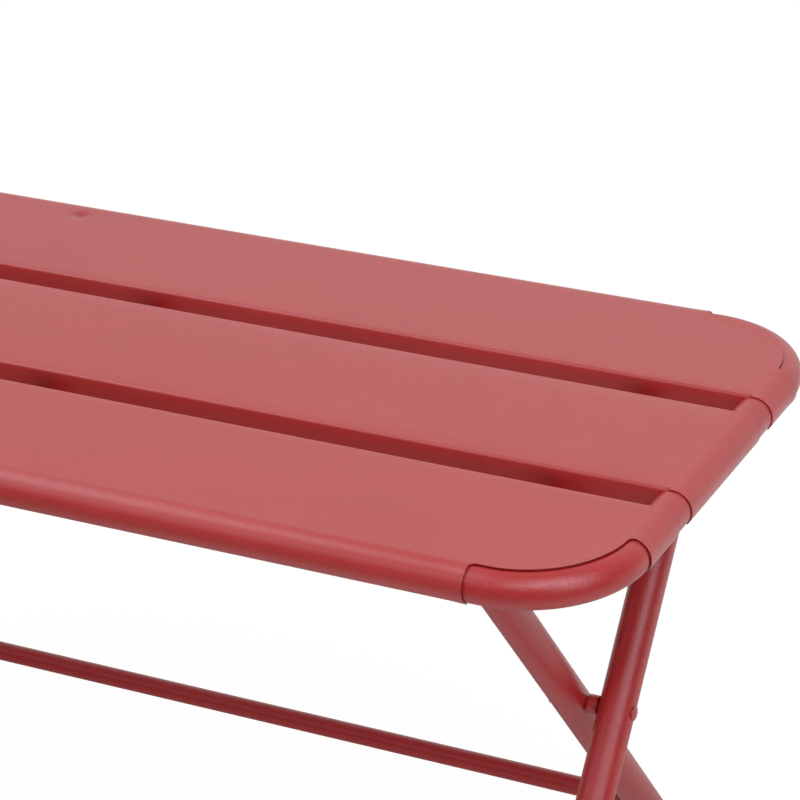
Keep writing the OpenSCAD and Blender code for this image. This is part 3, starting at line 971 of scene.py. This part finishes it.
def foot_level_ring(shape, x, lean, r, level):
    """Ring of a foot cap at one height above the floor."""
    points = []
    for angle in round_angles(TUBE_POINTS):
        rise = lean * r * math.sin(angle) * math.sin(LEG_ANGLE)
        points.append(leg_point(x, lean, r, angle, (level + rise) / math.cos(LEG_ANGLE) - FOOT_S))
    return shape.ring(points)


def leg_foot(x, lean):
    """Cap over a leg's foot: eased mouth, two grooves, level sole with a shallow recess."""
    bore = LEG_R + SEAT_GAP
    turned_part = [(bore, FOOT_STAND - SEAT_GAP), (bore, FOOT_TOP - MOUTH_DEPTH)]
    turned_part.append((bore + MOUTH_FLARE, FOOT_TOP))
    turned_part.extend((FOOT_R - inset, FOOT_TOP - drop) for inset, drop in MOUTH_EDGE)
    for groove in FOOT_GROOVES:
        turned_part.extend((FOOT_R - inset, FOOT_TOP - groove - drop) for inset, drop in GROOVE_PROFILE)
    sole = [(FOOT_R - inset, level) for inset, level in SOLE_EDGE]
    sole.extend(SOLE_RECESS)
    shape = Shape()
    rings = [leg_ring(shape, x, lean, r, h - FOOT_S) for r, h in turned_part]
    rings.extend(foot_level_ring(shape, x, lean, r, level) for r, level in sole)
    shape.loft(rings, False)
    return shape


# Plates under the end rails
PLATE_LAP = 0.1
PLATE_TOP = RAIL_Z - RAIL_R + PLATE_LAP - HINGE_Z
LEAST_COSINE = 0.001
HOOK_PLAY = 0.3
HOOK_DEPTH = 13.0
HOOK_LIP = 14.0
HOOK_LEAD = 1.2
HOOK_FLARE = math.radians(35)
HOOK_TAIL = 28.0
HOOK_TIP_R = 5.0
HOOK_MOUTH_R = 2.0
HOOK_STEPS = 12


def plate(outline, y0, z0):
    """Plate across X from an outline in Y and Z round a centre."""
    shape = Shape()
    sides = []
    for x in (LUG_X - LUG_T / 2, LUG_X + LUG_T / 2):
        sides.append(shape.ring([(x, y0 + point.x, z0 + point.y) for point in outline]))
    shape.loft(sides, False)
    return shape


def hinge_lug():
    """Lug with a round foot and a bore."""
    angles = round_angles(LUG_POINTS)
    angles.extend([math.atan2(PLATE_TOP, LUG_R), math.atan2(PLATE_TOP, -LUG_R)])
    angles.sort()
    outline = []
    bore = []
    for angle in angles:
        cosine = math.cos(angle)
        sine = math.sin(angle)
        reach = LUG_R
        if sine > 0:
            reach = min(LUG_R / max(abs(cosine), LEAST_COSINE), PLATE_TOP / sine)
        outline.append((reach * cosine, reach * sine))
        bore.append((BORE_R * cosine, BORE_R * sine))
    shape = Shape()
    rings = []
    for x, loop in ((-1, outline), (1, outline), (1, bore), (-1, bore)):
        points = [(LUG_X + x * LUG_T / 2, HINGE_Y + y, HINGE_Z + z) for y, z in loop]
        rings.append(shape.ring(points))
    shape.loft(rings, True)
    return shape


def catch_hook():
    """Hook plate, open downwards, with eased corners."""
    seat = PIN_R + HOOK_PLAY
    lip = seat + HOOK_LIP
    lead = seat + HOOK_LEAD
    mouth = lead + HOOK_DEPTH * math.tan(HOOK_FLARE)
    corners = [(-lip, -HOOK_DEPTH, HOOK_TIP_R), (-seat, -HOOK_DEPTH, HOOK_MOUTH_R)]
    for i in range(HOOK_STEPS + 1):
        turn = math.pi * (1 - i / HOOK_STEPS)
        corners.append((seat * math.cos(turn), seat * math.sin(turn), 0))
    corners.extend([(lead, 0, 0), (mouth, -HOOK_DEPTH, HOOK_MOUTH_R)])
    corners.extend([(HOOK_TAIL, -HOOK_DEPTH, HOOK_TIP_R), (HOOK_TAIL, PLATE_TOP, 0), (-lip, PLATE_TOP, 0)])
    return plate(rounded_outline(corners), -HINGE_Y, HINGE_Z)


# Weld beads
BEAD_MEAN = 0.88
BEAD_RIPPLE = 0.12
BEAD_TIP = 0.35
BEAD_TAPER = 2.5
CROSS_BEAD_R = 1.8
CROSS_BEAD_STEPS = 40
RAIL_BEAD_R = 1.7
RAIL_BEAD_STEPS = 30
RAIL_BEAD_START = -50
RAIL_BEAD_TURN = 280
PLATE_BEAD_R = 1.6
PLATE_BEAD_PITCH = 1.3
PLATE_BEAD_LEAST = 6
PLATE_BEAD_OUT = 0.3
PLATE_BEAD_UP = 0.2
TACK_R = 1.3
TACK_STEPS = 6
TACK_HALF = 4.5
TACK_PITCH = 1.5
TACK_OUT = 0.4
TACK_UP = 0.3


def bead(path, r, closed):
    """Rippled bead along a path of points, with tapered ends where it is open."""
    shape = Shape()
    count = len(path)
    rings = []
    for i in range(count):
        before = path[i - 1] if closed or i else path[i]
        after = path[(i + 1) % count] if closed or i < count - 1 else path[i]
        forward = (after - before).normalized()
        side = forward.orthogonal().normalized()
        other = forward.cross(side)
        size = r * (BEAD_MEAN + BEAD_RIPPLE * math.cos(math.pi * i))
        if not closed:
            size *= BEAD_TIP + (1 - BEAD_TIP) * smooth_step(0, BEAD_TAPER, min(i, count - 1 - i))
        points = []
        for angle in round_angles(BEAD_POINTS):
            points.append(path[i] + side * (size * math.cos(angle)) + other * (size * math.sin(angle)))
        rings.append(points)
    aligned = [rings[0]]
    for points in rings[1:]:
        last = aligned[-1]
        best = min(range(BEAD_POINTS), key=lambda k: (points[k] - last[0]).length)
        aligned.append(points[best:] + points[:best])
    shape.loft([shape.ring(points) for points in aligned], closed)
    return shape


def cross_tube_bead(x, lean, y0, z0):
    """Bead round the right end of a cross tube."""
    path = []
    for angle in round_angles(CROSS_BEAD_STEPS):
        y = y0 + STRETCHER_R * math.cos(angle)
        z = z0 + STRETCHER_R * math.sin(angle)
        path.append(Vector((x - leg_surface(lean, y, z, LEG_R), y, z)))
    return bead(path, CROSS_BEAD_R, True)


def rail_bead(x0, side):
    """Bead where the upper part of a rail meets a side tube."""
    path = []
    for i in range(RAIL_BEAD_STEPS + 1):
        angle = math.radians(RAIL_BEAD_START + RAIL_BEAD_TURN * i / RAIL_BEAD_STEPS)
        z = RAIL_Z + RAIL_R * math.sin(angle)
        path.append(Vector((x0 + RAIL_R * math.cos(angle), side * rail_reach(z), z)))
    return bead(path, RAIL_BEAD_R, False)


def plate_beads(y0, y1):
    """Beads along both sides of a plate's upper edge."""
    shape = Shape()
    count = max(int((y1 - y0) / PLATE_BEAD_PITCH), PLATE_BEAD_LEAST)
    for side in (RIGHT, LEFT):
        path = []
        for i in range(count + 1):
            y = y0 + (y1 - y0) * i / count
            x = LUG_X + side * (LUG_T / 2 + PLATE_BEAD_OUT)
            path.append(Vector((x, y, HINGE_Z + PLATE_TOP + PLATE_BEAD_UP)))
        shape.join(bead(path, PLATE_BEAD_R, False))
    return shape


def flange_beads(x0):
    """Tacks where the flanges stand on a rail."""
    shape = Shape()
    for y, towards in ((SLOT_OUT, REAR), (SLOT_IN, FRONT)):
        for side in (FRONT, REAR):
            path = []
            for i in range(TACK_STEPS + 1):
                x = x0 - TACK_HALF + TACK_PITCH * i
                drop = RAIL_R - math.sqrt(RAIL_R * RAIL_R - (x - x0) ** 2)
                beside = side * (y + towards * (SHEET + TACK_OUT))
                path.append(Vector((x, beside, RAIL_Z + RAIL_R - drop + TACK_UP)))
            shape.join(bead(path, TACK_R, False))
    return shape


# Eased edges and the ends of the plates' welds
SHEET_EDGE = 0.22
PLATE_EDGE = 0.4
SPACER_EDGE = 0.5
WASHER_EDGE = 0.4
LUG_WELD_INSET = 1
HOOK_WELD_FRONT = 17
HOOK_WELD_REAR = 27

# All pieces of the top
TOP_PIECES = (
    ("right_frame_tube", frame_half(RIGHT), "frame_paint", 0),
    ("left_frame_tube", frame_half(LEFT), "frame_paint", 0),
    ("front_slat", side_slat(FRONT), "slat_paint", SHEET_EDGE),
    ("rear_slat", side_slat(REAR), "slat_paint", SHEET_EDGE),
    ("middle_slat", middle_slat(), "slat_paint", SHEET_EDGE),
)
for node, top_shape, slot, edge in TOP_PIECES:
    make_piece(node + "_coated", top_shape, "top", slot, [node], edge)
for rail_name, rail_x in (("right", LUG_X), ("centre", 0.0), ("left", -LUG_X)):
    rail_shape = rail_tube(rail_x)
    for end in (FRONT, REAR):
        rail_shape.join(rail_bead(rail_x, end))
    rail_shape.join(flange_beads(rail_x))
    make_piece(rail_name + "_rail_coated", rail_shape, "top", "frame_paint", [rail_name + "_rail"])

# All pieces that each end has
for side, side_name in SIDE_NAMES.items():
    welds = plate_beads(HINGE_Y - LUG_R + LUG_WELD_INSET, HINGE_Y + LUG_R - LUG_WELD_INSET)
    welds.join(plate_beads(-HINGE_Y - HOOK_WELD_FRONT, -HINGE_Y + HOOK_WELD_REAR))
    rivet_shape = leg_pin(INNER_X - LEG_R - WASHER_T - 2 * PLAY, 0.0, PIVOT_Z)
    hinge_pin_shape = leg_pin(LUG_X - LUG_T / 2 - PLAY, HINGE_Y, HINGE_Z)
    spacer_ends = (INNER_X + LEG_R + PLAY, OUTER_X - LEG_R - PLAY)
    spacer_shape = bored_disc(*spacer_ends, SPACER_R, SPACER_EDGE, 0.0, PIVOT_Z)
    # Painted shade at the spacer's ends against the legs
    shade_ends(spacer_shape, *spacer_ends)
    washer_x = INNER_X - LEG_R - PLAY
    pivot_washer_shape = bored_disc(
        washer_x - WASHER_T, washer_x, PIVOT_WASHER_R, WASHER_EDGE, 0.0, PIVOT_Z
    )
    hinge_washer_shape = bored_disc(
        LUG_X + LUG_T / 2 + PLAY, OUTER_X - LEG_R - PLAY, HINGE_WASHER_R, WASHER_EDGE, HINGE_Y, HINGE_Z
    )
    rows = [
        ("hinge_lug", hinge_lug(), "top", "frame_paint", PLATE_EDGE),
        ("catch_hook", catch_hook(), "top", "frame_paint", PLATE_EDGE),
        ("outer_leg", leg_tube(OUTER_X, REAR), "outer_legs", "frame_paint", 0),
        ("inner_leg", leg_tube(INNER_X, FRONT), "inner_legs", "frame_paint", 0),
        ("outer_plug", leg_plug(OUTER_X, REAR), "outer_legs", "frame_paint", 0),
        ("inner_plug", leg_plug(INNER_X, FRONT), "inner_legs", "frame_paint", 0),
        ("outer_foot", leg_foot(OUTER_X, REAR), "outer_legs", "foot_cap", 0),
        ("inner_foot", leg_foot(INNER_X, FRONT), "inner_legs", "foot_cap", 0),
        ("pivot_rivet", rivet_shape, "outer_legs", "frame_paint", 0),
        ("hinge_pin", hinge_pin_shape, "outer_legs", "frame_paint", 0),
        ("pivot_spacer", spacer_shape, "outer_legs", "frame_paint", 0),
        ("pivot_washer", pivot_washer_shape, "outer_legs", "washer", 0),
        ("hinge_washer", hinge_washer_shape, "outer_legs", "washer", 0),
        ("catch_pin", catch_pin(), "inner_legs", "frame_paint", 0),
    ]
    for part_name, part_shape, body, slot, edge in rows:
        placed = part_shape if side == RIGHT else part_shape.mirrored(0)
        node = side_name + "_" + part_name
        make_piece(node + "_finished", placed, body, slot, [node], edge)
    placed_welds = welds if side == RIGHT else welds.mirrored(0)
    make_piece(side_name + "_plate_welds", placed_welds, "top", "frame_paint")

# Cross tubes between the legs, with their welds
CROSS_TUBES = (
    ("outer_stretcher", OUTER_X, REAR, -STRETCHER_Y, STRETCHER_Z, "outer_legs"),
    ("inner_stretcher", INNER_X, FRONT, STRETCHER_Y, STRETCHER_Z, "inner_legs"),
    ("inner_crossbar", INNER_X, FRONT, -HINGE_Y, HINGE_Z, "inner_legs"),
)
for node, x, lean, y, z, body in CROSS_TUBES:
    tube_shape = cross_tube(x, lean, y, z)
    end_bead = cross_tube_bead(x, lean, y, z)
    tube_shape.join(end_bead)
    tube_shape.join(end_bead.mirrored(0))
    # The cross tubes take the darker paint, which is painted shade
    make_piece(node + "_coated", tube_shape, body, "frame_paint", [node], coat=SHADED_CROSS_PAINT)

# CAD nodes that stay: the sleeves inside the side tubes
for node in ("front_join_sleeve", "rear_join_sleeve"):
    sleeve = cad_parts[node]
    sleeve.data.materials.clear()
    sleeve.data.materials.append(FRAME_PAINT)

# Camera of the photograph, taken as an 800 by 800 image
IMAGE_PIXELS = 800
FOCAL_PIXELS = 3367.53
SENSOR = 36.0
CLIP_START = 0.05
CLIP_END = 100.0
CAMERA_PLACE = Vector((1285.90, -1970.02, 1593.28))
CAMERA_AZIMUTH = math.radians(27.429)
CAMERA_ELEVATION = math.radians(26.353)
CAMERA_ROLL = math.radians(-2.370)


def direction(azimuth, elevation):
    """Unit vector towards a place round the table: azimuth 0 is the front, 90 the right."""
    level = math.cos(elevation)
    return Vector((math.sin(azimuth) * level, -math.cos(azimuth) * level, math.sin(elevation)))


def make_camera():
    """Camera at the place, turn and roll fitted to the photograph."""
    data = bpy.data.cameras.new("photo_camera")
    data.sensor_width = SENSOR
    data.lens = FOCAL_PIXELS / IMAGE_PIXELS * SENSOR
    data.clip_start = CLIP_START
    data.clip_end = CLIP_END
    camera = bpy.data.objects.new("photo_camera", data)
    bpy.context.scene.collection.objects.link(camera)
    back = direction(CAMERA_AZIMUTH, CAMERA_ELEVATION)
    level = Vector((math.cos(CAMERA_AZIMUTH), math.sin(CAMERA_AZIMUTH), 0))
    upright = back.cross(level)
    across = level * math.cos(CAMERA_ROLL) + upright * math.sin(CAMERA_ROLL)
    up = upright * math.cos(CAMERA_ROLL) - level * math.sin(CAMERA_ROLL)
    turn = Matrix((across, up, back)).transposed().to_4x4()
    camera.matrix_world = Matrix.Translation(CAMERA_PLACE * MM) @ turn
    bpy.context.scene.camera = camera


make_camera()

# Studio, in metres: lamps by name, azimuth, elevation and radiance
LIT_PLACE = Vector((0.3, 0.0, 0.45))
LAMP_COLOUR = (0.97, 0.98, 1.05)
LAMP_SIZE = 1.2
LAMP_DISTANCE = 2.6
LAMPS = (
    ("key_softbox_high", 60.0, 70.0, 1.95),
    ("key_softbox", 60.0, 45.0, 3.05),
    ("key_softbox_low", 60.0, 20.0, 1.6),
    ("front_softbox", 20.0, 45.0, 2.3),
    ("front_left_softbox", -30.0, 30.0, 0.8),
    ("left_softbox_low", -65.0, 30.0, 1.25),
    ("left_softbox", -65.0, 55.0, 2.25),
    ("rear_left_softbox", -105.0, 50.0, 1.45),
)


def make_lamp(name, azimuth, elevation, radiance):
    """Soft square lamp that faces the table and gives the stated radiance."""
    data = bpy.data.lights.new(name, "AREA")
    data.shape = "SQUARE"
    data.size = LAMP_SIZE
    data.energy = radiance * math.pi * LAMP_SIZE ** 2
    data.color = LAMP_COLOUR
    lamp = bpy.data.objects.new(name, data)
    bpy.context.scene.collection.objects.link(lamp)
    away = direction(math.radians(azimuth), math.radians(elevation))
    lamp.location = LIT_PLACE + away * LAMP_DISTANCE
    lamp.rotation_mode = "QUATERNION"
    lamp.rotation_quaternion = (-away).to_track_quat("-Z", "Y")
    lamp.visible_camera = False


for lamp_row in LAMPS:
    make_lamp(*lamp_row)


def value_mix(tree, share, first, second):
    """Output that goes from first to second by a share; each is a number or an output."""
    mix = add_node(tree, "ShaderNodeMix", data_type="FLOAT")
    tree.links.new(share, mix.inputs["Factor"])
    for socket, value in (("A", first), ("B", second)):
        if isinstance(value, float):
            mix.inputs[socket].default_value = value
        else:
            tree.links.new(value, mix.inputs[socket])
    return mix.outputs["Result"]


def larger(tree, first, second):
    """Output with the larger of two outputs."""
    either = add_node(tree, "ShaderNodeMath", operation="MAXIMUM")
    tree.links.new(first, either.inputs[0])
    tree.links.new(second, either.inputs[1])
    return either.outputs["Value"]


def seen_in_gloss(tree, path):
    """One for a ray that a gloss or glass surface sends."""
    return larger(tree, path.outputs["Is Glossy Ray"], path.outputs["Is Transmission Ray"])


def soft_range(tree, source, before, after):
    """Range with soft ends."""
    return spread_range(tree, source, before, after, "SMOOTHSTEP")


def place_parts(tree, output):
    """Place of the shaded point and the node with its X, Y and Z."""
    place = add_node(tree, "ShaderNodeTexCoord").outputs[output]
    parts = add_node(tree, "ShaderNodeSeparateXYZ")
    tree.links.new(place, parts.inputs["Vector"])
    return place, parts


WHITE = (1, 1, 1, 1)
WORLD_FILL = 0.35
WALL_DEPTH = (0.2, 0.95)
WALL_GLOSS = (0.0, 1.12)


def make_world():
    """White to the camera, a white studio with a dim front to gloss, and a soft even fill."""
    world = bpy.data.worlds.new("studio")
    world.use_nodes = True
    world.cycles.sampling_method = "NONE"
    tree = world.node_tree
    background = tree.nodes["Background"]
    background.inputs["Color"].default_value = WHITE
    parts = place_parts(tree, "Generated")[1]
    depth = soft_range(tree, parts.outputs["Y"], WALL_DEPTH, WALL_GLOSS)
    path = add_node(tree, "ShaderNodeLightPath")
    indirect = value_mix(tree, seen_in_gloss(tree, path), WORLD_FILL, depth)
    strength = value_mix(tree, path.outputs["Is Camera Ray"], indirect, 1.0)
    tree.links.new(strength, background.inputs["Strength"])
    bpy.context.scene.world = world


make_world()

# Floor: shadow tone and lift to the camera, and how bright it is to gloss by place, in metres
FLOOR_HALF = 15.0
FLOOR_CORNERS = ((-1, -1, 0), (1, -1, 0), (1, 1, 0), (-1, 1, 0))
SEEN_TONE = (0.11, 0.11, 0.11, 1)
SEEN_LIFT = 0.94
PAPER_TONE = (0.80, 0.78, 0.75, 1)
DARK_TONE = (0, 0, 0, 1)
BRIGHT_PLACE = (0.5, 0.4, 0.0)
BRIGHT_REACH = (0.55, 1.5)
BRIGHT_FADE = (1.0, 0.06)
REAR_REACH = (0.2, 0.9)
REAR_RISE = (0.0, 1.0)
LIFT_REACH = (0.05, 0.9)
LIFT_RISE = (0.0, 0.5)


def floor_seen(tree):
    """Shader of the floor as the camera sees it."""
    seen = add_node(tree, "ShaderNodeBsdfDiffuse")
    seen.inputs["Color"].default_value = SEEN_TONE
    lift = add_node(tree, "ShaderNodeEmission")
    lift.inputs["Color"].default_value = WHITE
    lift.inputs["Strength"].default_value = SEEN_LIFT
    white = add_node(tree, "ShaderNodeAddShader")
    link(tree, seen, 0, white, 0)
    link(tree, lift, 0, white, 1)
    return white


def floor_lit(tree, path):
    """Shader of the floor as it lights the table and shows in its gloss."""
    gloss = seen_in_gloss(tree, path)
    place, parts = place_parts(tree, "Object")
    away = add_node(tree, "ShaderNodeVectorMath", operation="DISTANCE")
    away.inputs[1].default_value = BRIGHT_PLACE
    tree.links.new(place, away.inputs[0])
    near = soft_range(tree, away.outputs["Value"], BRIGHT_REACH, BRIGHT_FADE)
    rear = soft_range(tree, parts.outputs["Y"], REAR_REACH, REAR_RISE)
    tone = add_node(tree, "ShaderNodeMix", data_type="RGBA")
    tone.inputs["A"].default_value = DARK_TONE
    tone.inputs["B"].default_value = PAPER_TONE
    tree.links.new(value_mix(tree, gloss, 1.0, larger(tree, near, rear)), tone.inputs["Factor"])
    paper = add_node(tree, "ShaderNodeBsdfDiffuse")
    link(tree, tone, "Result", paper, "Color")
    lift = soft_range(tree, parts.outputs["Y"], LIFT_REACH, LIFT_RISE)
    gloss_lift = add_node(tree, "ShaderNodeEmission")
    tree.links.new(value_mix(tree, gloss, 0.0, lift), gloss_lift.inputs["Strength"])
    lifted = add_node(tree, "ShaderNodeAddShader")
    link(tree, paper, 0, lifted, 0)
    link(tree, gloss_lift, 0, lifted, 1)
    return lifted


def make_floor():
    """Pale floor that is white to the camera, apart from the table's soft shadow."""
    mesh = bpy.data.meshes.new("studio_floor")
    mesh.from_pydata([Vector(corner) * FLOOR_HALF for corner in FLOOR_CORNERS], [], [(0, 1, 2, 3)])
    material = bpy.data.materials.new("studio_floor_paper")
    material.use_nodes = True
    material.cycles.emission_sampling = "NONE"
    tree = material.node_tree
    tree.nodes.remove(tree.nodes["Principled BSDF"])
    path = add_node(tree, "ShaderNodeLightPath")
    either = add_node(tree, "ShaderNodeMixShader")
    link(tree, path, "Is Camera Ray", either, 0)
    link(tree, floor_lit(tree, path), 0, either, 1)
    link(tree, floor_seen(tree), 0, either, 2)
    link(tree, either, 0, tree.nodes["Material Output"], "Surface")
    mesh.materials.append(material)
    floor = bpy.data.objects.new("studio_floor", mesh)
    bpy.context.scene.collection.objects.link(floor)


make_floor()

bpy.context.scene.view_settings.view_transform = "Standard"
